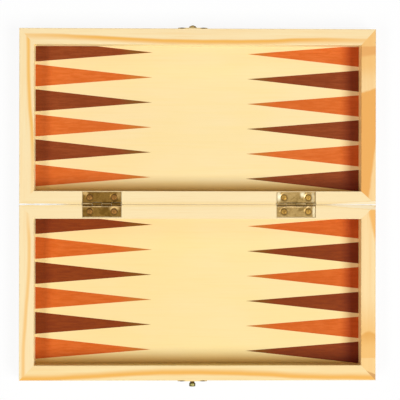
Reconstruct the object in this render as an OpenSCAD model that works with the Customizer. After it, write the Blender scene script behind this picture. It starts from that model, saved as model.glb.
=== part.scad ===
// Folding wooden games box, lying open: backgammon points inside, a chequered board outside.
// Two equal trays of mitred rails stand head to head and fold about two mortised butt hinges.
// Millimetres. X runs along the fold line, Y from the base tray to the lid tray, Z up.
// The origin is on the table, under the middle of the fold line.

/* [Trays] */
// Width of the box, along the fold line
box_w = 290; // [270:1:330]
// Depth of one tray, from its fold side to its front
tray_d = 143; // [130:0.1:150]
// Height of one tray
tray_h = 22; // [21:0.5:30]
// Gap between the two trays when the box lies open
fold_gap = 0.1; // [0.1:0.1:1]
// Gap between the two rims when the box is closed
rim_gap = 0.5; // [0.3:0.1:0.8]

/* [Rails] */
// Thickness of the rails
rail_w = 12; // [11:0.25:14]
// How far the base's opening lies nearer the fold, which narrows its back rail
base_shift = 0.4; // [0:0.1:1.2]
// The same for the lid's opening
lid_shift = 1.1; // [0:0.1:1.2]
// Rounding of the rails' long edges
rail_round = 0.5; // [0.4:0.1:1.2]
// Distance from the middle at which the wear of the fold's right end begins
worn_from = 98; // [97:1:125]
// Width worn off the base's fold edge at the right end
base_wear = 4; // [0.5:0.1:5]
// Width worn off the lid's fold edge at the right end
lid_wear = 3; // [0.5:0.1:5]
// Slope of the worn edges, in degrees
worn_slope = 8; // [6:1:30]
// Distance from the middle at which the fold begins to gape towards its ends
gape_from = 108; // [97:1:125]
// Width of the gape on each tray at the fold's ends
gape_w = 0.3; // [0.1:0.1:1]
// Depth of the groove that holds the panel
groove_d = 4.3; // [3:0.1:6]
// Height of the lip that the panel lies on
lip_h = 1.5; // [1:0.25:3]

/* [Panels] */
// Thickness of the panels
panel_t = 3; // [2.5:0.25:4]
// Play between a panel's edge and the bottom of its groove
panel_play = 0.3; // [0.1:0.1:0.6]
// Thickness of the veneer let into the panels
veneer_t = 0.6; // [0.4:0.1:0.8]

/* [Points] */
// Length of a point, from the rail to its tip
point_len = 94; // [70:0.5:110]
// Space between two points where they meet the rail
point_gap = 2.6; // [2:0.1:5]
// How much longer a row of points is than the tray's inside
point_spare = 4.1; // [2.6:0.1:5]
// How far the points run on under the rails
point_tuck = 3; // [2:0.25:3.5]
// Turn of the points within their frame, in degrees
point_skew = 0.85; // [0:0.05:1]
// Offset of the points along the fold, to the right
point_off_x = 1.4; // [-1:0.1:1.5]
// Offset of the points across the fold, towards the lid
point_off_y = 2.6; // [-2.4:0.1:2.8]

/* [Board] */
// Width of the hairline between two dark squares' corners
square_joint = 0.1; // [0.06:0.02:0.2]

/* [Hinges] */
// Length of a hinge
hinge_len = 31; // [28:0.5:40]
// Distance between the middles of the two hinges
hinge_spread = 158; // [120:1:200]
// Place of the two hinges' middle along the fold
hinge_mid = 1; // [-10:0.5:10]
// Reach of a leaf, from the pin's axis to its edge
leaf_reach = 10.1; // [9:0.1:10.5]
// Thickness of the hinges' sheet
leaf_t = 0.7; // [0.6:0.05:0.8]
// Radius of the hinge pins
pin_r = 0.8; // [0.7:0.05:0.9]
// How far a pin stands out of its barrel at each end
pin_proud = 0.3; // [0.1:0.05:0.4]
// Running clearance of a pin in the lid's knuckles
pin_clear = 0.06; // [0.03:0.01:0.1]
// Gap between two knuckles
knuckle_gap = 0.2; // [0.1:0.05:0.3]
// Distance between the two screws of a leaf
hinge_screw_gap = 19.8; // [16:0.1:21]
// Distance from the pin's axis to the screws
hinge_screw_y = 5.7; // [5.2:0.1:6]
// Play of a hinge in its mortise
mortise_play = 0.5; // [0.5:0.1:1]

/* [Screws] */
// Radius of the screws' heads
head_r = 2.6; // [2.2:0.05:2.7]
// Radius of the screws' shanks
shank_r = 1.25; // [1:0.05:1.5]
// Length of a hinge screw under its head
hinge_screw_len = 10; // [8:0.5:12]
// Height of a hinge screw's domed head above its leaf
hinge_dome = 0.45; // [0.3:0.05:0.5]
// Length of a latch screw under its head
latch_screw_len = 8; // [6:0.5:10]
// Height of a latch screw's domed head above its plate
latch_dome = 0.5; // [0.4:0.05:0.55]
// Width of the slots in the screws' heads
slot_w = 0.5; // [0.4:0.05:0.6]

/* [Latch] */
// Place of the latch along the front, from the middle
latch_x = -4.3; // [-40:0.1:40]
// Distance from the rim down to the latch's axis
latch_drop = 4.7; // [4.6:0.1:5.2]
// Length of a latch plate
plate_len = 24; // [23:0.5:28]
// Height of a latch plate
plate_h = 8; // [7:0.25:8.5]
// Thickness of a latch plate
plate_t = 0.7; // [0.6:0.05:1]
// Distance between the two screws of a plate
latch_screw_gap = 17.6; // [16:0.1:18.2]
// Radius of the peg's neck
neck_r = 1.8; // [1.3:0.05:2]
// Radius of the peg's knob
knob_r = 2.55; // [2.3:0.05:2.8]
// Length of the peg's knob
knob_len = 2.9; // [2.5:0.1:4]
// Radius of the rivet that the hook turns on
rivet_r = 1.1; // [0.9:0.05:1.2]
// Running clearance of the hook on its rivet
hook_clear = 0.08; // [0.04:0.01:0.1]
// Thickness of the spacer that lifts the hook over the screws
spacer_t = 0.6; // [0.6:0.05:1.2]
// Thickness of the hook
hook_t = 0.8; // [0.7:0.05:1.1]
// Play between the hook and its spacer
hook_float = 0.05; // [0.03:0.01:0.1]
// Play between the hook and its rivet's head
rivet_play = 0.08; // [0.05:0.01:0.15]
// Play between the hook and the peg's knob
knob_play = 0.15; // [0.1:0.05:0.4]
// Play between the hook's notch and the peg's neck
notch_play = 0.25; // [0.15:0.05:0.4]
// Width of the hook's metal round its notch
hook_ring = 1.9; // [1.6:0.1:2.2]
// Radius of the hook's eye
eye_r = 2.7; // [2.4:0.1:3]
// Width of the hook's arm
arm_w = 3.4; // [2.8:0.1:4]
// Height above the table at which the hanging hook ends
hook_foot = 1.3; // [0.6:0.1:1.6]

/* [Hidden] */
$fn = 48;

// Cuts run this far past the faces that they go through
over = 1;

// The inside of a tray, between its rails
inner_w = box_w - 2 * rail_w;
inner_d = tray_d - 2 * rail_w;
floor_z = lip_h + panel_t;

// A row of points fills the inside from the fold rail to the front rail and runs on under both
points = 6;
point_pitch = (inner_d + point_spare) / points;
point_base = point_pitch - point_gap;

// The gape goes straight down
gape_slope = 90;

// The board's half that a tray carries: eight columns and four rows of squares
columns = 8;
rows = 4;
square_w = min(inner_d / rows, inner_w / columns);

// The pin's axis lies midway between the closed rims
axis_z = tray_h + rim_gap / 2;
barrel_r = pin_r + leaf_t;
roll_step = 0.05;
leaf_z = -barrel_r + roll_step;
leaf_top = leaf_z + leaf_t;
knuckles = 4;
knuckle_len = hinge_len / knuckles;
barrel_clear = 0.25;
seam_w = 0.12;
pin_edge = 0.25;

// Fits of screws and rivets in what they go through
seat_clear = 0.02;
slot_len = 1.15 * head_r;
slot_deep = 0.75;

// The latch: heights above the rail's outer face
front_y = fold_gap / 2 + tray_d;
latch_z = tray_h - latch_drop;
plate_round = 2.5;
tail_r = 1.9;
tail_h = 0.7;
tail_play = 0.2;
spacer_r = 2.2;
hook_z = plate_t + spacer_t + hook_float;
hook_top = hook_z + hook_t;
neck_top = hook_top + knob_play;
rivet_head_z = hook_top + rivet_play;
rivet_head_h = 0.8;
rivet_head_r = 2;
knob_round = 0.6;

// The hook's outline: an eye on the rivet, an arm, a notched head and a finger tab
notch_r = neck_r + notch_play;
hook_head_r = notch_r + hook_ring;
hook_reach = 2 * latch_drop + rim_gap;
tab_r = 1.5;
tab_y = hook_foot - latch_z + tab_r;
arm_shift = 0.3;

// Woodwork: one tray in its own frame, its fold face on y = 0 and its front towards +y

// Cross-section of a rail: its outer face on x = 0, its groove open to the inside
module rail_profile(width) {
  r = rail_round;
  difference() {
    union() {
      translate([r, 0]) square([width - 2 * r, tray_h]);
      translate([0, r]) square([width, tray_h - 2 * r]);
      for (x = [r, width - r], y = [r, tray_h - r]) translate([x, y]) circle(r);
    }
    translate([width - groove_d, lip_h]) square([groove_d + over, panel_t]);
  }
}

// A rail with mitred ends, its outer face on y = 0 and its length along x.
// The rails that it meets have widths left_w at -x and right_w at +x
module rail(length, width, left_w, right_w) {
  intersection() {
    translate([-length / 2, 0, 0]) rotate([90, 0, 90]) linear_extrude(length) rail_profile(width);
    linear_extrude(tray_h) polygon([
      [-length / 2, 0], [length / 2, 0], [length / 2 - right_w, width], [left_w - length / 2, width]
    ]);
  }
}

// The room for one hinge in a rail: a flat for the leaf and a channel for the barrel
module mortise(x) {
  length = hinge_len + 2 * mortise_play;
  translate([x - length / 2, -over, axis_z + leaf_z])
    cube([length, over + leaf_reach - fold_gap / 2 + mortise_play, tray_h]);
  translate([x - length / 2, -fold_gap / 2, axis_z])
    rotate([0, 90, 0]) cylinder(h = length, r = barrel_r + barrel_clear);
}

// What is gone from a fold edge: a slope that widens from its start to the tray's end.
// way is the end's side along x
module worn_edge(way, from, width, slope) {
  run = box_w / 2 - from;
  translate([way * from, 0, tray_h]) rotate([0, 0, way * atan(width / run)]) rotate([slope, 0, 0])
    translate([way > 0 ? 0 : -run - over, -tray_h - over, 0])
      cube([run + over, tray_h + over, width + over]);
}

// Both ends gape, and the fold edge at the end on way's side is broadly worn as well
module worn_edges(way, wear) {
  worn_edge(way, worn_from, wear, worn_slope);
  for (end = [-1, 1]) worn_edge(end, gape_from, gape_w, gape_slope);
}

// In the tray modules, shift is how far the opening lies nearer the fold
module back_rail(shift, mid, way, wear) {
  color("burlywood") difference() {
    rail(box_w, rail_w - shift, rail_w, rail_w);
    worn_edges(way, wear);
    for (side = [-1, 1]) {
      mortise(mid + side * hinge_spread / 2);
      translate([mid + side * hinge_spread / 2, -fold_gap / 2, axis_z])
        at_leaf_screws() screw_outline(hinge_screw_len, hinge_dome, seat_clear);
    }
  }
}

// The latch's holes are at x, seen from the fold side
module front_rail(shift, x) {
  color("burlywood") translate([0, tray_d, 0]) rotate([0, 0, 180]) difference() {
    rail(box_w, rail_w + shift, rail_w, rail_w);
    translate([-x, 0, latch_z]) rotate([90, 0, 0]) {
      translate([0, 0, -tail_h - tail_play]) cylinder(h = tail_h + tail_play + over, r = tail_r + tail_play);
      at_plate_screws() screw_outline(latch_screw_len, latch_dome, seat_clear);
    }
  }
}

module left_rail(shift, way, wear) {
  color("burlywood") difference() {
    translate([-box_w / 2, tray_d / 2, 0])
      rotate([0, 0, -90]) rail(tray_d, rail_w, rail_w + shift, rail_w - shift);
    worn_edges(way, wear);
  }
}

module right_rail(shift, way, wear) {
  color("burlywood") difference() {
    translate([box_w / 2, tray_d / 2, 0])
      rotate([0, 0, 90]) rail(tray_d, rail_w, rail_w - shift, rail_w + shift);
    worn_edges(way, wear);
  }
}

// The panel's outline, with its edges in the rails' grooves
module panel_blank(shift) {
  tongue = groove_d - panel_play;
  translate([-inner_w / 2 - tongue, rail_w - shift - tongue, lip_h])
    cube([inner_w + 2 * tongue, inner_d + 2 * tongue, panel_t]);
}

// The points of one colour, as flat shapes about the middle of a tray
module point_shapes(dark) {
  for (side = [-1, 1], i = [0 : points - 1])
    if ((i % 2 == 0) == (dark == (side > 0)))
      translate([side * inner_w / 2, (i - (points - 1) / 2) * point_pitch])
        polygon([
          [side * point_tuck, -point_base / 2], [0, -point_base / 2],
          [-side * point_len, 0],
          [0, point_base / 2], [side * point_tuck, point_base / 2]
        ]);
}

// The points as they lie in a panel; way is 1 in the lid and -1 in the base, which is turned round
module placed_points(dark, shift, way) {
  intersection() {
    translate([way * point_off_x, tray_d / 2 - shift + way * point_off_y, floor_z - veneer_t])
      rotate([0, 0, -point_skew]) linear_extrude(veneer_t) point_shapes(dark);
    panel_blank(shift);
  }
}

module dark_points(shift, way) {
  color("saddlebrown") placed_points(true, shift, way);
}

module orange_points(shift, way) {
  color("chocolate") placed_points(false, shift, way);
}

// The dark squares on the panel's outer face; the bare panel makes the light ones
module placed_squares(shift) {
  side = square_w - square_joint;
  translate([-columns * square_w / 2, tray_d / 2 - shift - rows * square_w / 2, lip_h])
    for (i = [0 : columns - 1], j = [0 : rows - 1])
      if ((i + j) % 2 == 1)
        translate([i * square_w + square_joint / 2, j * square_w + square_joint / 2, 0])
          cube([side, side, veneer_t]);
}

module dark_squares(shift) {
  color("sienna") placed_squares(shift);
}

module panel(shift, way) {
  color("moccasin") difference() {
    panel_blank(shift);
    for (dark = [false, true]) placed_points(dark, shift, way);
    placed_squares(shift);
  }
}

// Ironmongery

// A screw's outline, its head's edge on z = 0 and its tip down; grow makes the hole for it
module screw_outline(length, dome, grow) {
  cone_h = head_r - shank_r;
  tip_h = 2 * shank_r;
  rotate_extrude() {
    polygon([
      [0, grow], [head_r + grow, grow], [head_r + grow, 0], [shank_r + grow, -cone_h],
      [shank_r + grow, -length + tip_h], [0, -length - grow]
    ]);
  }
}

// The dome's ball reaches from the head's edge to its crown
module screw(length, dome) {
  ball_r = (head_r * head_r + dome * dome) / (2 * dome);
  color("darkgoldenrod") difference() {
    union() {
      screw_outline(length, dome, 0);
      rotate_extrude() intersection() {
        translate([0, dome - ball_r]) circle(ball_r, $fn = 96);
        square([head_r, dome + over]);
      }
    }
    for (turn = [0, 90]) rotate([0, 0, turn])
      translate([-slot_len / 2, -slot_w / 2, dome - slot_deep]) cube([slot_len, slot_w, slot_deep + over]);
  }
}

// Where a leaf's two screws go, about the pin's axis
module at_leaf_screws() {
  for (side = [-1, 1]) translate([side * hinge_screw_gap / 2, hinge_screw_y, leaf_top]) children();
}

// A rolled leaf about the pin's axis on y = 0, z = 0, its knuckles first, third and so on from -x
module leaf(bore_r) {
  color("goldenrod") difference() {
    union() {
      translate([-hinge_len / 2, 0, leaf_z]) cube([hinge_len, leaf_reach, leaf_t]);
      translate([-hinge_len / 2, 0, 0]) rotate([0, 90, 0]) cylinder(h = hinge_len, r = barrel_r);
    }
    // The other leaf's knuckles
    for (i = [1 : 2 : knuckles - 1]) {
      from = -hinge_len / 2 + i * knuckle_len - knuckle_gap / 2;
      to = i == knuckles - 1 ? hinge_len / 2 + over : from + knuckle_len + knuckle_gap;
      translate([from, -barrel_r - over, -barrel_r - over])
        cube([to - from, 2 * barrel_r + over + barrel_clear, 2 * barrel_r + 2 * over]);
    }
    translate([-hinge_len / 2 - over, 0, 0]) rotate([0, 90, 0])
      cylinder(h = hinge_len + 2 * over, r = bore_r);
    // The seam where the rolled edge comes back to the sheet
    translate([-hinge_len / 2 - over, 0, leaf_top]) cube([hinge_len + 2 * over, barrel_r + over, seam_w]);
    at_leaf_screws() screw_outline(hinge_screw_len, hinge_dome, seat_clear);
  }
}

module lid_leaf() {
  leaf(pin_r + pin_clear);
}

module base_leaf() {
  rotate([0, 0, 180]) leaf(pin_r);
}

module leaf_screws() {
  at_leaf_screws() screw(hinge_screw_len, hinge_dome);
}

module base_leaf_screws() {
  rotate([0, 0, 180]) leaf_screws();
}

module hinge_pin() {
  length = hinge_len + 2 * pin_proud;
  color("silver") translate([-length / 2, 0, 0]) rotate([0, 90, 0]) rotate_extrude() polygon([
    [0, 0], [pin_r - pin_edge, 0], [pin_r, pin_edge],
    [pin_r, length - pin_edge], [pin_r - pin_edge, length], [0, length]
  ]);
}

// Latch, in the frame of a rail's outer face: z outwards, y towards the rim

module at_plate_screws() {
  for (side = [-1, 1]) translate([side * latch_screw_gap / 2, 0, plate_t]) children();
}

module latch_plate() {
  color("goldenrod") difference() {
    linear_extrude(plate_t) {
      square([plate_len - 2 * plate_round, plate_h], center = true);
      square([plate_len, plate_h - 2 * plate_round], center = true);
      for (x = [-1, 1], y = [-1, 1])
        translate([x * (plate_len / 2 - plate_round), y * (plate_h / 2 - plate_round)]) circle(plate_round);
    }
    translate([0, 0, -over]) cylinder(h = plate_t + 2 * over, r = rivet_r + seat_clear);
    at_plate_screws() screw_outline(latch_screw_len, latch_dome, seat_clear);
  }
}

module latch_screws() {
  at_plate_screws() screw(latch_screw_len, latch_dome);
}

// The peg: a peened tail behind the plate, a neck for the hook and a round knob
module peg() {
  color("darkkhaki") rotate_extrude() {
    translate([0, -tail_h]) square([tail_r, tail_h]);
    translate([0, -tail_h]) square([rivet_r, tail_h + plate_t + over]);
    translate([0, plate_t]) square([neck_r, neck_top - plate_t + over]);
    translate([0, neck_top]) square([knob_r - knob_round, knob_len]);
    translate([0, neck_top + knob_round]) square([knob_r, knob_len - 2 * knob_round]);
    for (z = [knob_round, knob_len - knob_round])
      translate([knob_r - knob_round, neck_top + z]) circle(knob_round);
  }
}

module spacer() {
  color("goldenrod") translate([0, 0, plate_t]) difference() {
    cylinder(h = spacer_t, r = spacer_r);
    translate([0, 0, -over]) cylinder(h = spacer_t + 2 * over, r = rivet_r + seat_clear);
  }
}

module rivet() {
  ball_r = (rivet_head_r * rivet_head_r + rivet_head_h * rivet_head_h) / (2 * rivet_head_h);
  color("darkkhaki") rotate_extrude() {
    translate([0, -tail_h]) square([tail_r, tail_h]);
    translate([0, -tail_h]) square([rivet_r, tail_h + rivet_head_z + rivet_head_h / 2]);
    intersection() {
      translate([0, rivet_head_z + rivet_head_h - ball_r]) circle(ball_r, $fn = 96);
      translate([0, rivet_head_z]) square([rivet_head_r, rivet_head_h + over]);
    }
  }
}

// The hook hangs from its eye towards -y; its notch lets the peg in from +x, on an arc about the eye
module hook() {
  color("goldenrod") translate([0, 0, hook_z]) linear_extrude(hook_t) difference() {
    union() {
      circle(eye_r);
      translate([-arm_w / 2 - arm_shift, -hook_reach]) square([arm_w, hook_reach]);
      translate([0, -hook_reach]) circle(hook_head_r);
      translate([-tab_r, tab_y]) square([2 * tab_r, -hook_reach - tab_y]);
      translate([0, tab_y]) circle(tab_r);
    }
    circle(rivet_r + hook_clear);
    translate([0, -hook_reach]) circle(notch_r);
    intersection() {
      difference() {
        circle(hook_reach + notch_r, $fn = 96);
        circle(hook_reach - notch_r, $fn = 96);
      }
      translate([0, -2 * hook_reach]) square([hook_head_r + over, 2 * hook_reach]);
    }
  }
}

// Places in the open box

module in_base() {
  rotate([0, 0, 180]) translate([0, fold_gap / 2, 0]) children();
}

module in_lid() {
  translate([0, fold_gap / 2, 0]) children();
}

module at_hinge(side) {
  translate([hinge_mid + side * hinge_spread / 2, 0, axis_z]) children();
}

module on_base_front() {
  translate([latch_x, -front_y, latch_z]) rotate([90, 0, 0]) children();
}

module on_lid_front() {
  translate([latch_x, front_y, latch_z]) rotate([90, 0, 180]) children();
}

in_base() front_rail(base_shift, -latch_x);  // base_front_rail
in_base() back_rail(base_shift, -hinge_mid, -1, base_wear);  // base_back_rail
in_base() right_rail(base_shift, -1, base_wear);  // base_left_rail
in_base() left_rail(base_shift, -1, base_wear);  // base_right_rail
in_base() panel(base_shift, -1);  // base_panel
in_base() dark_points(base_shift, -1);  // base_dark_points
in_base() orange_points(base_shift, -1);  // base_orange_points
in_base() dark_squares(base_shift);  // base_dark_squares
in_lid() front_rail(lid_shift, latch_x);  // lid_front_rail
in_lid() back_rail(lid_shift, hinge_mid, 1, lid_wear);  // lid_back_rail
in_lid() left_rail(lid_shift, 1, lid_wear);  // lid_left_rail
in_lid() right_rail(lid_shift, 1, lid_wear);  // lid_right_rail
in_lid() panel(lid_shift, 1);  // lid_panel
in_lid() dark_points(lid_shift, 1);  // lid_dark_points
in_lid() orange_points(lid_shift, 1);  // lid_orange_points
in_lid() dark_squares(lid_shift);  // lid_dark_squares
at_hinge(-1) base_leaf();  // left_hinge_base_leaf
at_hinge(-1) lid_leaf();  // left_hinge_lid_leaf
at_hinge(-1) hinge_pin();  // left_hinge_pin
at_hinge(-1) base_leaf_screws();  // left_hinge_base_screws
at_hinge(-1) leaf_screws();  // left_hinge_lid_screws
at_hinge(1) base_leaf();  // right_hinge_base_leaf
at_hinge(1) lid_leaf();  // right_hinge_lid_leaf
at_hinge(1) hinge_pin();  // right_hinge_pin
at_hinge(1) base_leaf_screws();  // right_hinge_base_screws
at_hinge(1) leaf_screws();  // right_hinge_lid_screws
on_base_front() latch_plate();  // peg_plate
on_base_front() peg();  // catch_peg
on_base_front() latch_screws();  // peg_plate_screws
on_lid_front() latch_plate();  // hook_plate
on_lid_front() spacer();  // hook_spacer
on_lid_front() rivet();  // hook_rivet
on_lid_front() hook();  // hook_arm
on_lid_front() latch_screws();  // hook_plate_screws
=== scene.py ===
"""A folding wooden games box lying open: pine rails, stained points on a pale floor, brass fittings."""

import math

import bpy
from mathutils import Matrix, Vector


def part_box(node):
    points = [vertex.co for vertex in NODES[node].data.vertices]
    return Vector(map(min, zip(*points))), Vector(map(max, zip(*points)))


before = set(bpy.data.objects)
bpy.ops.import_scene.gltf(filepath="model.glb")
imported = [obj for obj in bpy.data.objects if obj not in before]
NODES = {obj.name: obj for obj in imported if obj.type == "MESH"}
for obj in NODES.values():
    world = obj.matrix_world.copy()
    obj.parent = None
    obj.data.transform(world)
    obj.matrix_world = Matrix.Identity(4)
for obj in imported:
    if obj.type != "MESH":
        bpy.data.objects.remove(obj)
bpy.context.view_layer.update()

# Millimetres in a metre
PER_MM = 1000.0

# Sizes of the box in metres, read from its own nodes
BOX_HALF_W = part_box("base_front_rail")[1][0]
RIM_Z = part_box("base_front_rail")[1][2]
FRONT_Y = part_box("lid_front_rail")[1][1]
FOLD_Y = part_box("lid_back_rail")[0][1]
FLOOR_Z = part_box("base_panel")[1][2]
INNER_HALF_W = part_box("base_right_rail")[0][0]

# Where each tray's opening begins and ends along y
TRAY_OPENINGS = {
    "base": (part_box("base_front_rail")[1][1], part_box("base_back_rail")[0][1]),
    "lid": (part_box("lid_back_rail")[1][1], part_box("lid_front_rail")[0][1]),
}

# Squares on each tray's half of the outer board
BOARD_COLUMNS = 8
BOARD_ROWS = 4

# The photograph's frame, and how large the box's rim is in it
PICTURE_PX = 400
PX_PER_MM = 1.2308

# The camera: its place in metres from the middle of the rim, its turns in radians, and its range
CAMERA_LEFT = 0.035
CAMERA_BACK = 0.00363
CAMERA_RISE = 1.411
CAMERA_TURN = 0.026
CAMERA_ROLL = 0.0013
CAMERA_RANGE = 20.0
SENSOR_MM = 36.0

# How bright the stage is: a colour of 1 / STAGE_LIGHT looks white in its full light
STAGE_LIGHT = 1.25

# The even light from all round, as a share of the stage's
FILL = 0.155

# The softboxes: their height in metres, their depth and place as shares of it, their widths and powers
LAMP_RISE = 12.0
LAMP_DEPTH = 0.8
LAMP_ASIDE = 0.63
LAMP_FORWARD = 0.4
RIGHT_WIDTH = 0.57
LEFT_WIDTH = 0.33
RIGHT_POWER = 12.9
LEFT_POWER = 7.05

# The table: its size in metres, its own grey, and how much of what is seen of it is plain white
TABLE_SIZE = 6.0
TABLE_GREY = 0.76
TABLE_ROUGH = 0.8
TABLE_WHITE = 0.9

# Plain white, as the table and the studio show it
WHITE = (1.0, 1.0, 1.0, 1.0)

# Depths of relief in metres, and the chamfer that takes the sharpness off the rails' edges
PINE_RELIEF = 0.00003
VENEER_RELIEF = 0.00002
METAL_RELIEF = 0.00001
DISH_DEPTH = 0.0002
DOME_RELIEF = 0.00008
BROKEN_EDGE = 0.00012

# Corners nearer to each other than this are one point, in metres, and edges past this angle are broken
SAME_POINT = 0.000001
SHARP_ANGLE = math.radians(40)

# Roughness between the fibres and on them: of rails and panels, and of the inlaid veneers
BOARD_ROUGH = (0.34, 0.46)
INLAY_ROUGH = (0.3, 0.42)

# A rail's faces change their tone between these distances from an edge, in millimetres
TURN_FROM = 0.6
TURN_TO = 0.2

# How many times as long as wide a fibre is; how much wider and longer than a fibre's width a streak is
FIBRE_LENGTH = 45.0
STREAK_WIDTH = 4.0
STREAK_LENGTH = 110.0

# Sizes of the lumps of slow noise along, across and up: in millimetres on wood, in metres on metal
WAVER_SIZE = (45.0, 30.0, 30.0)
WOBBLE_SIZE = (4.0, 3.0, 6.0)
CLOUD_SIZE = (60.0, 25.0, 25.0)
BLOTCH_SIZE = (10.0, 1.4, 10.0)
TARNISH_SIZE = (0.006, 0.006, 0.006)
SCRATCH_SIZE = (0.004, 0.00012, 0.00012)
SPECK_SIZE = (0.0014, 0.0014, 0.0014)

# Widths of the rubbed edge on metal, plain and fine, and of the dished seat round a screw's head, in metres
RUBBED_EDGE = 0.0002
FINE_EDGE = 0.0001
SEAT_WIDTH = 0.0012


# Small helpers for node trees


def add(tree, kind, inputs=None, **settings):
    """Adds one shader node; an input takes a value or another node's output."""
    node = tree.nodes.new(kind)
    for name, value in settings.items():
        setattr(node, name, value)
    for name, value in (inputs or {}).items():
        join(tree, value, node.inputs[name])
    return node


def join(tree, value, socket):
    """Links an output to a socket, or writes a plain value into it."""
    if isinstance(value, bpy.types.NodeSocket):
        tree.links.new(value, socket)
    else:
        socket.default_value = value


def calc(tree, operation, *values, clamp=False):
    """One Math node; returns its output."""
    node = tree.nodes.new("ShaderNodeMath")
    node.operation = operation
    node.use_clamp = clamp
    for socket, value in zip(node.inputs, values):
        join(tree, value, socket)
    return node.outputs[0]


def ramp(tree, value, low, high, to_low=0.0, to_high=1.0, smooth=True):
    """A value run from one range to another, with eased ends."""
    node = add(
        tree,
        "ShaderNodeMapRange",
        {"Value": value, "From Min": low, "From Max": high, "To Min": to_low, "To Max": to_high},
        interpolation_type="SMOOTHSTEP" if smooth else "LINEAR",
    )
    return node.outputs["Result"]


def blend(tree, factor, first, second, way="MIX"):
    """Two colours mixed; returns the colour."""
    node = tree.nodes.new("ShaderNodeMix")
    node.data_type = "RGBA"
    node.blend_type = way
    node.clamp_factor = True
    join(tree, factor, node.inputs[0])
    join(tree, first, node.inputs[6])
    join(tree, second, node.inputs[7])
    return node.outputs[2]


def veiled(tree, colour, mask, start, full, strength, tone):
    """A colour with a tone over it, from where a mask reaches start to where it is full."""
    return blend(tree, ramp(tree, mask, start, full, 0.0, strength), colour, tone)


def vector_math(tree, operation, first, second):
    """One vector calculation; returns its vector."""
    return add(tree, "ShaderNodeVectorMath", {0: first, 1: second}, operation=operation).outputs[0]


def noise(tree, where, size, detail=2.0, rough=0.5, twist=0.0):
    """A noise value at a place, whose lumps have a size along each axis."""
    node = add(
        tree,
        "ShaderNodeTexNoise",
        {
            "Vector": vector_math(tree, "DIVIDE", where, size),
            "Scale": 1.0,
            "Detail": detail,
            "Roughness": rough,
            "Distortion": twist,
        },
    )
    return node.outputs["Fac"]


def parts_of(tree, where):
    """The x, y and z of a place."""
    node = add(tree, "ShaderNodeSeparateXYZ", {0: where})
    return node.outputs[0], node.outputs[1], node.outputs[2]


def place_of(tree, x, y, z):
    """A place put together from x, y and z."""
    return add(tree, "ShaderNodeCombineXYZ", {0: x, 1: y, 2: z}).outputs[0]


def new_group(name, inputs, outputs):
    """An empty node group with named inputs and outputs; returns it with both ends."""
    group = bpy.data.node_groups.new(name, "ShaderNodeTree")
    for title, kind, value in inputs:
        socket = group.interface.new_socket(title, in_out="INPUT", socket_type=kind)
        socket.default_value = value
    for title, kind in outputs:
        group.interface.new_socket(title, in_out="OUTPUT", socket_type=kind)
    start = group.nodes.new("NodeGroupInput")
    end = group.nodes.new("NodeGroupOutput")
    return group, start.outputs, end.inputs


def use(tree, group, inputs):
    """Places a node group and returns its outputs."""
    node = tree.nodes.new("ShaderNodeGroup")
    node.node_tree = group
    for name, value in inputs.items():
        join(tree, value, node.inputs[name])
    return node.outputs


def linear(red, green, blue):
    """A surface's own colour, given as 0 to 255 as it looks on screen in the stage's full light.

    A wall that gets less than the full light may go past 255.
    """
    def channel(value):
        share = value / 255
        seen = share / 12.92 if share <= 0.04045 else ((share + 0.055) / 1.055) ** 2.4
        return seen / STAGE_LIGHT

    return (channel(red), channel(green), channel(blue), 1.0)


def new_material(name):
    """An empty material with its shader; returns the material, its tree and the shader."""
    material = bpy.data.materials.new(name)
    material.use_nodes = True
    tree = material.node_tree
    tree.nodes.clear()
    shader = tree.nodes.new("ShaderNodeBsdfPrincipled")
    end = tree.nodes.new("ShaderNodeOutputMaterial")
    tree.links.new(shader.outputs[0], end.inputs[0])
    return material, tree, shader


def soften(tree, shader, fibre, rough, gloss=0.2):
    """Sets a satin finish: how rough it is between and on the fibres, and how much of a shine it has."""
    join(tree, ramp(tree, fibre, 0.3, 0.7, *rough), shader.inputs["Roughness"])
    shader.inputs["Specular IOR Level"].default_value = gloss


def raised(tree, height, depth, shader):
    """Turns a height of 0 to 1 into relief of that depth in metres."""
    bump = add(tree, "ShaderNodeBump", {"Height": height, "Strength": 1.0, "Distance": depth})
    tree.links.new(bump.outputs["Normal"], shader.inputs["Normal"])


def object_place(tree):
    """Where on the box at rest a surface point is, in metres."""
    return tree.nodes.new("ShaderNodeTexCoord").outputs["Object"]


# Effects that several materials share


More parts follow.
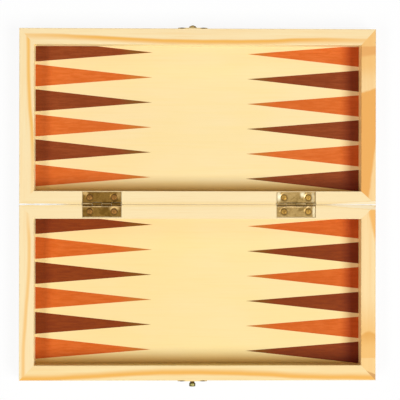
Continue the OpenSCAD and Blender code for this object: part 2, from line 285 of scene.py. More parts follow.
def make_growth_bands():
    """Bands of late wood, on a place in millimetres: x along a board, y across its rim, z up.

    The bold band runs at Band from the board's outer face, rises to Swell more round Swell place,
    and is sharp on the side away from the tree's heart. Fainter ones follow beside it. From Fade
    place on, a distance from the box's middle, they rise from the share Faded to their full
    strength over Fade length, which is negative where they fade away from the middle.
    """
    group, given, result = new_group(
        "growth_bands",
        [
            ("Place", "NodeSocketVector", (0, 0, 0)),
            ("Band", "NodeSocketFloat", 3.0),
            ("Drift", "NodeSocketFloat", 0.0),
            ("Swell", "NodeSocketFloat", 0.0),
            ("Swell place", "NodeSocketFloat", 0.0),
            ("Swell length", "NodeSocketFloat", 60.0),
            ("Lean", "NodeSocketFloat", 0.6),
            ("Outward", "NodeSocketFloat", 1.0),
            ("Sharp side", "NodeSocketFloat", 2.2),
            ("Soft side", "NodeSocketFloat", 4.2),
            ("Spacing", "NodeSocketFloat", 8.0),
            ("Faint", "NodeSocketFloat", 0.15),
            ("Waver", "NodeSocketFloat", 2.0),
            ("Fade place", "NodeSocketFloat", -1000.0),
            ("Fade length", "NodeSocketFloat", 40.0),
            ("Faded", "NodeSocketFloat", 0.4),
        ],
        [("Late wood", "NodeSocketFloat"), ("Level", "NodeSocketFloat")],
    )
    x, y, z = parts_of(group, given["Place"])
    reach = calc(group, "DIVIDE", calc(group, "SUBTRACT", x, given["Swell place"]), given["Swell length"])
    bell = calc(group, "EXPONENT", calc(group, "MULTIPLY", calc(group, "MULTIPLY", reach, reach), -1.0))
    route = calc(group, "MULTIPLY_ADD", bell, given["Swell"], given["Band"])
    route = calc(group, "MULTIPLY_ADD", x, given["Drift"], route)
    slow = calc(group, "SUBTRACT", noise(group, given["Place"], WAVER_SIZE), 0.5)
    waver = calc(group, "MULTIPLY", slow, given["Waver"])
    depth = calc(group, "SUBTRACT", RIM_Z * PER_MM, z)
    away = calc(group, "ADD", calc(group, "SUBTRACT", y, route), waver)
    away = calc(group, "MULTIPLY_ADD", depth, given["Lean"], away)
    away = calc(group, "MULTIPLY", away, given["Outward"])
    ring = calc(group, "DIVIDE", calc(group, "ADD", away, given["Sharp side"]), given["Spacing"])
    inside = calc(group, "MULTIPLY", calc(group, "FRACT", ring), given["Spacing"])
    rise = ramp(group, calc(group, "DIVIDE", inside, given["Sharp side"]), 0.0, 1.0)
    left = calc(group, "DIVIDE", calc(group, "SUBTRACT", inside, given["Sharp side"]), given["Soft side"])
    fall = ramp(group, left, 0.1, 1.0, 1.0, 0.0)
    number = calc(group, "FLOOR", ring)
    lot = add(group, "ShaderNodeTexWhiteNoise", {"W": number}, noise_dimensions="1D").outputs["Value"]
    faint = calc(group, "MULTIPLY", given["Faint"], calc(group, "ADD", lot, 0.3))
    strength = calc(group, "MAXIMUM", calc(group, "COMPARE", number, 0.0, 0.5), faint)
    beyond = calc(group, "SUBTRACT", calc(group, "ABSOLUTE", x), given["Fade place"])
    faded = calc(group, "DIVIDE", beyond, given["Fade length"])
    strength = calc(group, "MULTIPLY", strength, ramp(group, faded, 0.0, 1.0, given["Faded"], 1.0))
    late = calc(group, "MULTIPLY", calc(group, "MULTIPLY", rise, fall), strength)
    join(group, late, result["Late wood"])
    join(group, away, result["Level"])
    return group


def make_figure_edge():
    """The edge of a patch of figure, in millimetres along and across a board.

    Turn is the direction, in degrees from along to across, in which the patch lies.
    """
    group, given, result = new_group(
        "figure_edge",
        [
            ("Place", "NodeSocketVector", (0, 0, 0)),
            ("Along", "NodeSocketFloat", 0.0),
            ("Across", "NodeSocketFloat", 0.0),
            ("Turn", "NodeSocketFloat", 0.0),
            ("Bend", "NodeSocketFloat", 0.0),
            ("Softness", "NodeSocketFloat", 1.0),
        ],
        [("Inside", "NodeSocketFloat")],
    )
    x, y, _ = parts_of(group, given["Place"])
    along = calc(group, "SUBTRACT", x, given["Along"])
    across = calc(group, "SUBTRACT", y, given["Across"])
    turn = calc(group, "RADIANS", given["Turn"])
    cosine = calc(group, "COSINE", turn)
    sine = calc(group, "SINE", turn)
    ahead = calc(group, "MULTIPLY_ADD", along, cosine, calc(group, "MULTIPLY", across, sine))
    swerve = calc(group, "MULTIPLY", along, sine)
    aside = calc(group, "SUBTRACT", calc(group, "MULTIPLY", across, cosine), swerve)
    bend = calc(group, "MULTIPLY", calc(group, "MULTIPLY", aside, aside), given["Bend"])
    ahead = calc(group, "SUBTRACT", ahead, bend)
    wobble = calc(group, "SUBTRACT", noise(group, given["Place"], WOBBLE_SIZE), 0.5)
    ahead = calc(group, "ADD", ahead, wobble)
    share = calc(group, "DIVIDE", ahead, given["Softness"])
    join(group, ramp(group, share, -0.5, 0.5), result["Inside"])
    return group


def make_fibres():
    """Fine fibres drawn out along x, with slow clouds of tone, on a place in millimetres."""
    group, given, result = new_group(
        "wood_fibres",
        [("Place", "NodeSocketVector", (0, 0, 0)), ("Width", "NodeSocketFloat", 0.4)],
        [("Fibre", "NodeSocketFloat"), ("Cloud", "NodeSocketFloat"), ("Streak", "NodeSocketFloat")],
    )
    long = calc(group, "MULTIPLY", given["Width"], FIBRE_LENGTH)
    fibre = place_of(group, long, given["Width"], given["Width"])
    wide = calc(group, "MULTIPLY", given["Width"], STREAK_WIDTH)
    longer = calc(group, "MULTIPLY", given["Width"], STREAK_LENGTH)
    streak = place_of(group, longer, wide, wide)
    join(group, noise(group, given["Place"], fibre, 3.0, 0.6), result["Fibre"])
    join(group, noise(group, given["Place"], streak, 2.0, 0.5, 0.3), result["Streak"])
    join(group, noise(group, given["Place"], CLOUD_SIZE), result["Cloud"])
    return group


def make_wall_shade():
    """How close a place on a tray's floor is to each wall, for the shade painted there: 1 at its foot, 0 at
    Reach, in metres.
    """
    group, given, result = new_group(
        "wall_shade",
        [
            ("Place", "NodeSocketVector", (0, 0, 0)),
            ("Half width", "NodeSocketFloat", 0.1),
            ("Low y", "NodeSocketFloat", 0.0),
            ("High y", "NodeSocketFloat", 0.1),
            ("Reach", "NodeSocketFloat", 0.002),
        ],
        [
            ("Front", "NodeSocketFloat"),
            ("Back", "NodeSocketFloat"),
            ("Left", "NodeSocketFloat"),
            ("Right", "NodeSocketFloat"),
        ],
    )
    x, y, _ = parts_of(group, given["Place"])
    gaps = {
        "Front": calc(group, "SUBTRACT", y, given["Low y"]),
        "Back": calc(group, "SUBTRACT", given["High y"], y),
        "Left": calc(group, "ADD", given["Half width"], x),
        "Right": calc(group, "SUBTRACT", given["Half width"], x),
    }
    for wall, gap in gaps.items():
        share = calc(group, "DIVIDE", gap, given["Reach"], clamp=True)
        join(group, ramp(group, share, 0.0, 1.0, 1.0, 0.0), result[wall])
    return group


def make_tarnish():
    """Blotches of tarnish, fine scratches and rubbed edges on metal, on a place in metres."""
    group, given, result = new_group(
        "tarnish",
        [
            ("Place", "NodeSocketVector", (0, 0, 0)),
            ("Amount", "NodeSocketFloat", 0.5),
            ("Edge", "NodeSocketFloat", RUBBED_EDGE),
        ],
        [("Dull", "NodeSocketFloat"), ("Scratch", "NodeSocketFloat"), ("Rubbed", "NodeSocketFloat")],
    )
    cloud = noise(group, given["Place"], TARNISH_SIZE, 4.0, 0.6, 0.6)
    low = calc(group, "SUBTRACT", 0.75, calc(group, "MULTIPLY", given["Amount"], 0.6))
    high = calc(group, "ADD", low, 0.3)
    join(group, ramp(group, cloud, low, high), result["Dull"])
    lines = noise(group, given["Place"], SCRATCH_SIZE, 2.0, 0.7, 0.4)
    join(group, ramp(group, lines, 0.52, 0.72), result["Scratch"])
    bevel = add(group, "ShaderNodeBevel", {"Radius": given["Edge"]}, samples=6)
    true_normal = group.nodes.new("ShaderNodeNewGeometry").outputs["Normal"]
    both = {0: bevel.outputs["Normal"], 1: true_normal}
    match = add(group, "ShaderNodeVectorMath", both, operation="DOT_PRODUCT").outputs["Value"]
    join(group, ramp(group, match, 0.86, 0.99, 1.0, 0.0), result["Rubbed"])
    return group


def make_screw_dish():
    """The dished seat of a leaf's two screws, on a place in metres.

    Rise is 0 at the head's edge and 1 on the flat; Near head is 1 round the head.
    """
    group, given, result = new_group(
        "screw_dish",
        [
            ("Place", "NodeSocketVector", (0, 0, 0)),
            ("Middle x", "NodeSocketFloat", 0.0),
            ("Half gap", "NodeSocketFloat", 0.01),
            ("Y", "NodeSocketFloat", 0.0),
            ("Head", "NodeSocketFloat", 0.0026),
            ("Width", "NodeSocketFloat", SEAT_WIDTH),
        ],
        [("Rise", "NodeSocketFloat"), ("Near head", "NodeSocketFloat")],
    )
    x, y, _ = parts_of(group, given["Place"])
    aside = calc(group, "ABSOLUTE", calc(group, "SUBTRACT", x, given["Middle x"]))
    aside = calc(group, "SUBTRACT", aside, given["Half gap"])
    ahead = calc(group, "SUBTRACT", y, given["Y"])
    square = calc(group, "MULTIPLY_ADD", aside, aside, calc(group, "MULTIPLY", ahead, ahead))
    beyond = calc(group, "SUBTRACT", calc(group, "SQRT", square), given["Head"])
    share = calc(group, "DIVIDE", beyond, given["Width"])
    join(group, ramp(group, share, -0.3, 1.0), result["Rise"])
    join(group, ramp(group, share, 0.1, 0.7, 1.0, 0.0), result["Near head"])
    return group


def make_spot():
    """A soft-edged oval, 1 inside, on a place in metres."""
    group, given, result = new_group(
        "soft_spot",
        [
            ("Place", "NodeSocketVector", (0, 0, 0)),
            ("X", "NodeSocketFloat", 0.0),
            ("Y", "NodeSocketFloat", 0.0),
            ("Half length", "NodeSocketFloat", 0.001),
            ("Half width", "NodeSocketFloat", 0.001),
        ],
        [("Inside", "NodeSocketFloat")],
    )
    x, y, _ = parts_of(group, given["Place"])
    along = calc(group, "DIVIDE", calc(group, "SUBTRACT", x, given["X"]), given["Half length"])
    across = calc(group, "DIVIDE", calc(group, "SUBTRACT", y, given["Y"]), given["Half width"])
    square = calc(group, "MULTIPLY_ADD", along, along, calc(group, "MULTIPLY", across, across))
    join(group, ramp(group, calc(group, "SQRT", square), 0.2, 1.4, 1.0, 0.0), result["Inside"])
    return group


GROWTH_BANDS = make_growth_bands()
FIGURE_EDGE = make_figure_edge()
WOOD_FIBRES = make_fibres()
WALL_SHADE = make_wall_shade()
TARNISH = make_tarnish()
SCREW_DISH = make_screw_dish()
SOFT_SPOT = make_spot()


# Wood


def board_place(tree, runs, outer, inward):
    """A rail's own place in millimetres: x along it, y from its outer face inward, z up.

    runs is the axis that the rail lies along, outer its outer face and inward the way in from there.
    """
    mapping = tree.nodes.new("ShaderNodeMapping")
    join(tree, object_place(tree), mapping.inputs["Vector"])
    across = -outer * inward * PER_MM
    if runs == "x":
        mapping.inputs["Scale"].default_value = (PER_MM, inward * PER_MM, PER_MM)
    else:
        mapping.inputs["Scale"].default_value = (-inward * PER_MM, PER_MM, PER_MM)
        mapping.inputs["Rotation"].default_value = (0, 0, -math.pi / 2)
    mapping.inputs["Location"].default_value = (0, across, 0)
    return mapping.outputs[0]


def patched(tree, where, colour, patches, share=1.0):
    """A colour with patches over it: each is a tone, a strength and the edges that it lies within."""
    for shade, strength, edges in patches:
        mask = calc(tree, "MULTIPLY", strength, share)
        for along, across, turn, bend, softness in edges:
            edge = use(
                tree,
                FIGURE_EDGE,
                {
                    "Place": where,
                    "Along": along,
                    "Across": across,
                    "Turn": turn,
                    "Bend": bend,
                    "Softness": softness,
                },
            )
            mask = calc(tree, "MULTIPLY", mask, edge["Inside"])
        colour = blend(tree, mask, colour, shade)
    return colour


def pine(name, place, bands, pale, late, wall, figure=(), wear=()):
    """Lacquered pine: pale wood with bands of late wood, patches of figure and, on the rim, of wear and of
    painted light and shade.

    wall is the inner side's tone; on most rails it is painted lighter or darker for how much light that
    side gets.
    """
    material, tree, shader = new_material(name + "_pine")
    where = board_place(tree, **place)
    grain = use(tree, GROWTH_BANDS, {"Place": where, **bands})
    fibre = use(tree, WOOD_FIBRES, {"Place": where, "Width": 0.45})
    _, across, up = parts_of(tree, where)
    rim = RIM_Z * PER_MM
    on_rim = ramp(tree, up, rim - TURN_FROM, rim - TURN_TO)
    colour = veiled(tree, pale, fibre["Streak"], 0.42, 0.75, 0.14, late)
    colour = patched(tree, where, colour, figure)
    # On the rim: wear, and light and shade painted along the fold
    colour = patched(tree, where, colour, wear, on_rim)
    colour = blend(tree, grain["Late wood"], colour, late)
    colour = veiled(tree, colour, fibre["Cloud"], 0.35, 0.7, 0.1, late)
    colour = veiled(tree, colour, fibre["Fibre"], 0.42, 0.72, 0.1, PINE_FIBRE)
    low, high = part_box(name)
    wide = min(high[0] - low[0], high[1] - low[1]) * PER_MM
    below = calc(tree, "SUBTRACT", 1.0, on_rim)
    inner = calc(tree, "MULTIPLY", ramp(tree, across, wide - TURN_FROM, wide - TURN_TO), below)
    # The inner side takes its wall tone, painted lighter or darker for how much light it gets
    colour = blend(tree, inner, colour, wall)
    join(tree, colour, shader.inputs["Base Color"])
    soften(tree, shader, fibre["Fibre"], BOARD_ROUGH)
    relief = calc(tree, "MULTIPLY_ADD", grain["Late wood"], 0.6, fibre["Fibre"])
    raised(tree, relief, PINE_RELIEF, shader)
    return material


# Tones that several rails share
PINE_PALE = linear(254, 231, 180)
PINE_LATE = linear(246, 184, 88)
PINE_FIBRE = linear(222, 168, 100)
FOLD_PALE = linear(250, 214, 150)

# Tones of the walls round the trays, with painted light and shade: pale and tan brighten sides that get
# little light, amber shades the front wall
BRIGHTENED_PALE_WALL = linear(282, 268, 206)
SHADED_AMBER_WALL = linear(246, 210, 130)
BRIGHTENED_TAN_WALL = linear(270, 228, 152)

# Tones on the rims at the fold: painted shade along the crack, a painted light edge, and a worn end painted
# lit with a shaded edge
FOLD_CRACK_SHADE = linear(250, 220, 156)
GAP_LIGHT_EDGE = linear(255, 252, 240)
# The worn right end of the fold: its edge lines are painted shade, and its bare wood is made paler as
# painted light on the chamfer
WORN_EDGE_SHADE = linear(240, 206, 140)
BARE_PINE_LIT = linear(255, 241, 208)

# How far the worn edges at the fold's right end turn off the fold line, in degrees
BASE_WORN = 4.9
LID_WORN = 3.65

# A painted light edge at the fold's left end, and painted shade in a strip along the whole fold
FOLD_LIGHT_AND_SHADE = (
    (FOLD_CRACK_SHADE, 0.7, ((0.0, 2.0, -90.0, 0.0, 2.4),)),
    (GAP_LIGHT_EDGE, 1.0, ((-110.0, 0.6, -90.0, 0.0, 0.5), (-110.0, 0.0, 180.0, 0.0, 16.0))),
)

# Each rail's place, its bands, its tones and its patches of figure and, on the rim, of wear and painted
# light and shade. A patch has a tone, a
# strength and its edges: along and across in millimetres, turn in degrees, bend, softness in millimetres
RAILS = {
    "base_front_rail": {
        "place": {"runs": "x", "outer": -FRONT_Y, "inward": 1},
        "bands": {
            "Band": 1.1,
            "Drift": 0.004,
            "Swell": 5.0,
            "Swell place": -8.0,
            "Swell length": 85.0,
            "Sharp side": 2.4,
            "Soft side": 5.2,
        },
        "pale": linear(254, 228, 168),
        "late": PINE_LATE,
        "wall": SHADED_AMBER_WALL,
    },
    "lid_front_rail": {
        "place": {"runs": "x", "outer": FRONT_Y, "inward": -1},
        "bands": {
            "Band": 7.0,
            "Drift": 0.012,
            "Swell": 3.0,
            "Swell place": 0.0,
            "Swell length": 75.0,
            "Sharp side": 1.8,
            "Soft side": 4.7,
            "Fade place": 150.0,
            "Fade length": -80.0,
            "Faded": 0.5,
        },
        "pale": PINE_PALE,
        "late": PINE_LATE,
        "wall": BRIGHTENED_PALE_WALL,
    },
    "base_back_rail": {
        "place": {"runs": "x", "outer": -FOLD_Y, "inward": -1},
        "bands": {"Band": -7.0, "Spacing": 3.4, "Sharp side": 0.7, "Soft side": 1.4, "Faint": 0.12},
        "pale": PINE_PALE,
        "late": FOLD_PALE,
        "wall": PINE_PALE,
        "wear": FOLD_LIGHT_AND_SHADE + (
            (WORN_EDGE_SHADE, 0.6, ((90.0, 0.0, BASE_WORN - 90.0, 0.0, 0.8),)),
            (BARE_PINE_LIT, 0.7, ((98.0, 0.0, BASE_WORN - 90.0, 0.0, 0.8),)),
        ),
    },
    "lid_back_rail": {
        "place": {"runs": "x", "outer": FOLD_Y, "inward": 1},
        "bands": {"Band": -7.0, "Spacing": 3.1, "Sharp side": 0.7, "Soft side": 1.3, "Faint": 0.12},
        "pale": PINE_PALE,
        "late": FOLD_PALE,
        "wall": PINE_PALE,
        "wear": FOLD_LIGHT_AND_SHADE + (
            (WORN_EDGE_SHADE, 0.6, ((90.0, 0.0, LID_WORN - 90.0, 0.0, 0.8),)),
            (BARE_PINE_LIT, 0.7, ((98.0, 0.0, LID_WORN - 90.0, 0.0, 0.8),)),
        ),
    },
    "base_left_rail": {
        "place": {"runs": "y", "outer": -BOX_HALF_W, "inward": 1},
        "bands": {
            "Band": 3.5,
            "Swell": 4.7,
            "Swell place": -38.0,
            "Swell length": 58.0,
            "Outward": -1.0,
            "Sharp side": 2.0,
            "Soft side": 2.8,
            "Spacing": 9.0,
            "Fade place": 4.0,
            "Fade length": 26.0,
            "Faded": 0.3,
        },
        "pale": PINE_PALE,
        "late": linear(250, 202, 128),
        "wall": BRIGHTENED_PALE_WALL,
    },
    "lid_left_rail": {
        "place": {"runs": "y", "outer": -BOX_HALF_W, "inward": 1},
        "bands": {
            "Band": 7.5,
            "Swell": 3.7,
            "Swell place": 26.0,
            "Swell length": 62.0,
            "Outward": -1.0,
            "Sharp side": 2.0,
            "Soft side": 2.9,
            "Spacing": 9.0,
            "Fade place": 10.0,
            "Fade length": 60.0,
        },
        "pale": PINE_PALE,
        "late": linear(249, 193, 102),
        "wall": BRIGHTENED_PALE_WALL,
    },
    "base_right_rail": {
        "place": {"runs": "y", "outer": BOX_HALF_W, "inward": -1},
        "bands": {"Band": -8.0, "Spacing": 6.0, "Faint": 0.1, "Lean": 1.4},
        "pale": linear(254, 224, 166),
        "late": linear(247, 188, 104),
        "wall": BRIGHTENED_TAN_WALL,
        "figure": (
            (linear(248, 186, 102), 1.0, ((-19.0, 2.8, -77.0, 0.0, 2.5),)),
            (linear(248, 196, 116), 1.0, ((-92.0, 6.0, 180.0, 0.0, 46.0), (-125.2, 6.0, 0.0, 0.0, 1.2))),
            (linear(233, 170, 80), 0.9, ((-103.3, 5.6, 180.0, 0.09, 2.5), (-111.0, 5.6, 0.0, 0.0, 14.0))),
            (linear(253, 212, 142), 1.0, ((-125.2, 6.0, 180.0, 0.0, 1.2),)),
            (linear(205, 148, 82), 0.85, ((-136.9, 3.2, 160.0, 0.0, 1.0),)),
        ),
        "wear": (
            (WORN_EDGE_SHADE, 0.6, ((-4.7, 0.0, -BASE_WORN, 0.0, 0.8),)),
            (BARE_PINE_LIT, 0.7, ((-4.1, 0.0, -BASE_WORN, 0.0, 0.8),)),
        ),
    },
    "lid_right_rail": {
        "place": {"runs": "y", "outer": BOX_HALF_W, "inward": -1},
        "bands": {"Band": -8.0, "Spacing": 6.0, "Faint": 0.1, "Lean": 1.4},
        "pale": linear(254, 218, 156),
        "late": linear(240, 176, 94),
        "wall": BRIGHTENED_TAN_WALL,
        "figure": (
            (linear(249, 199, 124), 1.0, ((107.0, 6.0, 0.0, 0.0, 16.0),)),
            (linear(241, 175, 90), 1.0, ((93.0, 6.0, 198.0, 0.0, 2.0), (25.0, 3.3, 82.6, 0.0, 2.0))),
            (linear(236, 174, 101), 1.0, ((121.5, 6.0, 10.0, 0.0, 3.0), (129.0, 6.0, 180.0, 0.0, 1.5))),
        ),
        "wear": (
            (WORN_EDGE_SHADE, 0.6, ((3.7, 0.0, 180.0 + LID_WORN, 0.0, 0.8),)),
            (BARE_PINE_LIT, 0.7, ((3.1, 0.0, 180.0 + LID_WORN, 0.0, 0.8),)),
        ),
    },
}


def flat_place(tree):
    """A panel's or an inlay's place in millimetres, with its grain along x."""
    mapping = tree.nodes.new("ShaderNodeMapping")
    join(tree, object_place(tree), mapping.inputs["Vector"])
    mapping.inputs["Scale"].default_value = (PER_MM, PER_MM, PER_MM)
    return mapping.outputs[0]


def wall_shade(tree, tray, reach):
    """How strongly shade is painted on a tray's floor towards the foot of each wall."""
    low, high = TRAY_OPENINGS[tray]
    return use(
        tree,
        WALL_SHADE,
        {
            "Place": object_place(tree),
            "Half width": INNER_HALF_W,
            "Low y": low,
            "High y": high,
            "Reach": reach,
        },
    )


# The painted shade along the walls reaches this far down into the panel, full and gone, in metres
SHADE_FULL = 0.0004
SHADE_GONE = 0.0008


def paint_wall_shade(tree, colour, tray, shades):
    """Paints shade along the walls over a colour, on the tray's floor and not on the panel's underside."""
    _, _, up = parts_of(tree, object_place(tree))
    inside = ramp(tree, up, FLOOR_Z - SHADE_GONE, FLOOR_Z - SHADE_FULL)
    for wall, reach, full, tint in shades:
        strength = ramp(tree, wall_shade(tree, tray, reach)[wall], 0.0, full, smooth=False)
        colour = blend(tree, calc(tree, "MULTIPLY", strength, inside), colour, tint, "MULTIPLY")
    return colour


# Painted shade along the walls, on the bare floors and on the points: each one has its
# wall, its reach in metres, the share of nearness at which it is full, and its tint
FLOOR_WALL_SHADE = (
    ("Front", 0.011, 1.0, (0.93, 0.71, 0.37, 1.0)),
    ("Back", 0.024, 1.0, (0.93, 0.86, 0.9, 1.0)),
    ("Right", 0.018, 0.7, (0.98, 0.82, 0.78, 1.0)),
    ("Left", 0.16, 1.0, (1.0, 0.96, 0.94, 1.0)),
)
STAIN_WALL_SHADE = (
    ("Front", 0.011, 1.0, (0.97, 0.84, 0.66, 1.0)),
    ("Back", 0.024, 1.0, (0.91, 0.93, 0.98, 1.0)),
    ("Right", 0.018, 0.7, (0.84, 0.6, 0.5, 1.0)),
    ("Left", 0.018, 0.4, (0.92, 0.86, 0.82, 1.0)),
)

# The floors' two pale tones, and the tones of their streaks and fibres
FLOOR_TONES = {
    "base": (linear(254, 228, 160), linear(254, 229, 166)),
    "lid": (linear(254, 228, 166), linear(254, 229, 172)),
}
FLOOR_STREAK = linear(252, 224, 150)
FLOOR_FIBRE = linear(235, 195, 125)


def panel_wood(name, panel):
    """The floor's pale plywood face, with faint long figure and painted shade along the walls."""
    material, tree, shader = new_material(name)
    where = flat_place(tree)
    fibre = use(tree, WOOD_FIBRES, {"Place": where, "Width": 0.6})
    colour = blend(tree, ramp(tree, fibre["Cloud"], 0.3, 0.7), *FLOOR_TONES[panel])
    colour = veiled(tree, colour, fibre["Streak"], 0.42, 0.72, 0.22, FLOOR_STREAK)
    colour = veiled(tree, colour, fibre["Fibre"], 0.45, 0.75, 0.08, FLOOR_FIBRE)
    # Painted shade at the foot of the walls
    colour = paint_wall_shade(tree, colour, panel, FLOOR_WALL_SHADE)
    join(tree, colour, shader.inputs["Base Color"])
    soften(tree, shader, fibre["Fibre"], BOARD_ROUGH)
    raised(tree, fibre["Fibre"], VENEER_RELIEF, shader)
    return material


# The points' stains: plain, light and deep tones, and the browner tone of the thin tips
STAINS = {
    "base": {
        "dark": (linear(131, 53, 9), linear(143, 62, 13), linear(116, 42, 8), linear(130, 80, 20)),
        "orange": (linear(213, 99, 28), linear(224, 111, 42), linear(202, 87, 20), linear(202, 120, 46)),
    },
    "lid": {
        "dark": (linear(136, 60, 20), linear(150, 71, 30), linear(120, 48, 16), linear(132, 84, 30)),
        "orange": (linear(218, 105, 36), linear(229, 118, 51), linear(208, 95, 28), linear(204, 122, 48)),
    },
}

# Where the stain starts to thin and where it is thinnest, in millimetres from the box's middle, and
# how far it has then turned to the tip's tone
TIP_START = 66.0
TIP_END = 50.0
TIP_SHARE = 0.85

# The walnut's two tones, its fibres, the redder tone of some squares, and how far apart their veneers
# were cut, in millimetres
WALNUT = (linear(98, 58, 36), linear(128, 80, 50))
WALNUT_FIBRE = linear(66, 38, 24)
WALNUT_RED = linear(120, 70, 42)
VENEER_JUMP = 400.0


def stained_points(name, panel, plain, light, deep, tip):
    """Stained veneer, its fibres running along the points, thinner and browner at their tips, with painted
    shade along the walls.
    """
    material, tree, shader = new_material(name)
    where = flat_place(tree)
    fibre = use(tree, WOOD_FIBRES, {"Place": where, "Width": 0.5})
    blotch = noise(tree, where, BLOTCH_SIZE, 3.0, 0.65, 0.3)
    colour = veiled(tree, plain, blotch, 0.36, 0.64, 1.0, light)
    colour = veiled(tree, colour, fibre["Streak"], 0.45, 0.75, 0.3, deep)
    colour = veiled(tree, colour, fibre["Fibre"], 0.42, 0.72, 0.25, deep)
    colour = veiled(tree, colour, fibre["Cloud"], 0.45, 0.7, 0.25, deep)
    x, _, _ = parts_of(tree, where)
    thin = ramp(tree, calc(tree, "ABSOLUTE", x), TIP_END, TIP_START, TIP_SHARE, 0.0)
    colour = blend(tree, thin, colour, tip)
    # Painted shade at the foot of the walls
    colour = paint_wall_shade(tree, colour, panel, STAIN_WALL_SHADE)
    join(tree, colour, shader.inputs["Base Color"])
    soften(tree, shader, fibre["Fibre"], INLAY_ROUGH, gloss=0.1)
    raised(tree, fibre["Fibre"], VENEER_RELIEF, shader)
    return material


def dark_squares(name, squares):
    """The outer board's dark squares, each cut from its own stretch of walnut veneer."""
    material, tree, shader = new_material(name)
    where = flat_place(tree)
    low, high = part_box(squares)
    corner = (low[0] * PER_MM, low[1] * PER_MM, 0.0)
    across = (high[0] - low[0]) / BOARD_COLUMNS * PER_MM
    along = (high[1] - low[1]) / BOARD_ROWS * PER_MM
    from_corner = vector_math(tree, "SUBTRACT", where, corner)
    cell = vector_math(tree, "SNAP", from_corner, (across, along, across))
    lot = add(tree, "ShaderNodeTexWhiteNoise", {"Vector": cell}, noise_dimensions="3D").outputs
    jump = vector_math(tree, "MULTIPLY", lot["Color"], (VENEER_JUMP, VENEER_JUMP, VENEER_JUMP))
    own = vector_math(tree, "ADD", where, jump)
    fibre = use(tree, WOOD_FIBRES, {"Place": own, "Width": 0.5})
    colour = blend(tree, ramp(tree, fibre["Streak"], 0.3, 0.7), *WALNUT)
    colour = veiled(tree, colour, fibre["Fibre"], 0.4, 0.7, 0.6, WALNUT_FIBRE)
    colour = blend(tree, calc(tree, "MULTIPLY", lot["Value"], 0.25), colour, WALNUT_RED)
    join(tree, colour, shader.inputs["Base Color"])
    soften(tree, shader, fibre["Fibre"], INLAY_ROUGH)
    raised(tree, fibre["Fibre"], VENEER_RELIEF, shader)
    return material


# Metal


# Brass where it is rubbed, also laid as a painted highlight along the barrels, and a dark tone laid round
# screws and as painted shade in seams
RUBBED_AND_HIGHLIT_BRASS = linear(222, 192, 140)
BRASS_DARK = linear(62, 42, 18)

# The latch's brass and the pins' steel: bright and tarnished tone
PLATE_TONES = (linear(172, 142, 92), linear(124, 98, 56))
PLATE_SCREW_TONES = (linear(92, 74, 48), linear(56, 43, 27))
PEG_TONES = (linear(126, 119, 72), linear(78, 73, 38))
LATCH_TONES = (linear(170, 158, 96), linear(96, 88, 40))
HOOK_TONES = (linear(150, 122, 76), linear(104, 80, 44))
STEEL_TONES = (linear(190, 186, 176), linear(120, 112, 98))

# Painted light on the top of a plate's edge, and painted shade on the neck of the peg
PLATE_TOP_LIGHT = linear(214, 190, 140)
PEG_NECK_SHADE = linear(62, 46, 14)

# The two hinges' brass: bright and tarnished tone, the tone of the painted glints, and how much of it has
# tarnished
LEAF_TONES = {
    "left": (linear(130, 98, 45), linear(89, 63, 22), linear(226, 190, 126), 0.7),
    "right": (linear(165, 136, 84), linear(111, 88, 46), linear(236, 226, 190), 0.6),
}

# The screws' bright and tarnished tones
SCREW_TONES = {
    "left": (linear(140, 98, 47), linear(97, 64, 25)),
    "right": (linear(168, 131, 62), linear(118, 84, 35)),
}

# Painted glints on the leaves, where the lamps would shine off them: strength, then place, half length and
# half width in metres
LEAF_GLINTS = {
    "left_hinge_lid": (
        (0.5, -0.0915, 0.0092, 0.0024, 0.0018),
        (0.2, -0.0640, 0.0085, 0.0022, 0.0040),
    ),
    "left_hinge_base": ((0.55, -0.0677, -0.0030, 0.0042, 0.0022),),
    "right_hinge_lid": (
        (0.75, 0.0659, 0.0066, 0.0018, 0.0044),
        (0.6, 0.0852, 0.0083, 0.0020, 0.0026),
        (0.3, 0.0937, 0.0058, 0.0014, 0.0060),
    ),
    "right_hinge_base": ((0.5, 0.0945, -0.0058, 0.0013, 0.0070),),
}

# Where along y the painted highlight line on each tray's leaves and the painted shade line along the
# barrels lie, and the distances from a line at which its tone is full and gone, in metres
HIGHLIGHT_LINE_Y = {"base": -0.0018, "lid": 0.0008}
SHADE_LINE_Y = -0.0005
LINE_FULL = 0.0002
LINE_GONE = 0.0006

# A plate's painted top light is gone and full at these depths under its edge, in metres, and the darkening
# there is full and gone at these distances from a screw
TOP_GONE = 0.0004
TOP_FULL = 0.0001
DARKENING_FULL = 0.0012
DARKENING_GONE = 0.0036

# The length of the peg's knob, and half the width of the change to its neck's painted shade, in metres
PEG_KNOB = 0.0029
NECK_TURN = 0.0002


def aged_metal(name, bright, dull, amount, edge=RUBBED_EDGE):
    """A metal's shader with its tarnish; returns the material, its tree, shader, colour and ageing.

    edge is how wide its edges are rubbed, in metres.
    """
    material, tree, shader = new_material(name)
    age = use(tree, TARNISH, {"Place": object_place(tree), "Amount": amount, "Edge": edge})
    colour = blend(tree, age["Dull"], bright, dull)
    colour = blend(tree, calc(tree, "MULTIPLY", age["Scratch"], 0.25), colour, bright)
    colour = blend(tree, calc(tree, "MULTIPLY", age["Rubbed"], 0.4), colour, RUBBED_AND_HIGHLIT_BRASS)
    shader.inputs["Metallic"].default_value = 1.0
    return material, tree, shader, colour, age


def brass(name, bright, dull, amount, rough=(0.3, 0.55), edge=RUBBED_EDGE):
    """Brass sheet or wire: bright where it is rubbed, browner and rougher where it has tarnished."""
    material, tree, shader, colour, age = aged_metal(name, bright, dull, amount, edge)
    join(tree, colour, shader.inputs["Base Color"])
    join(tree, ramp(tree, age["Dull"], 0.0, 1.0, *rough), shader.inputs["Roughness"])
    relief = calc(tree, "MULTIPLY_ADD", age["Scratch"], 0.6, age["Dull"])
    raised(tree, relief, METAL_RELIEF, shader)
    return material


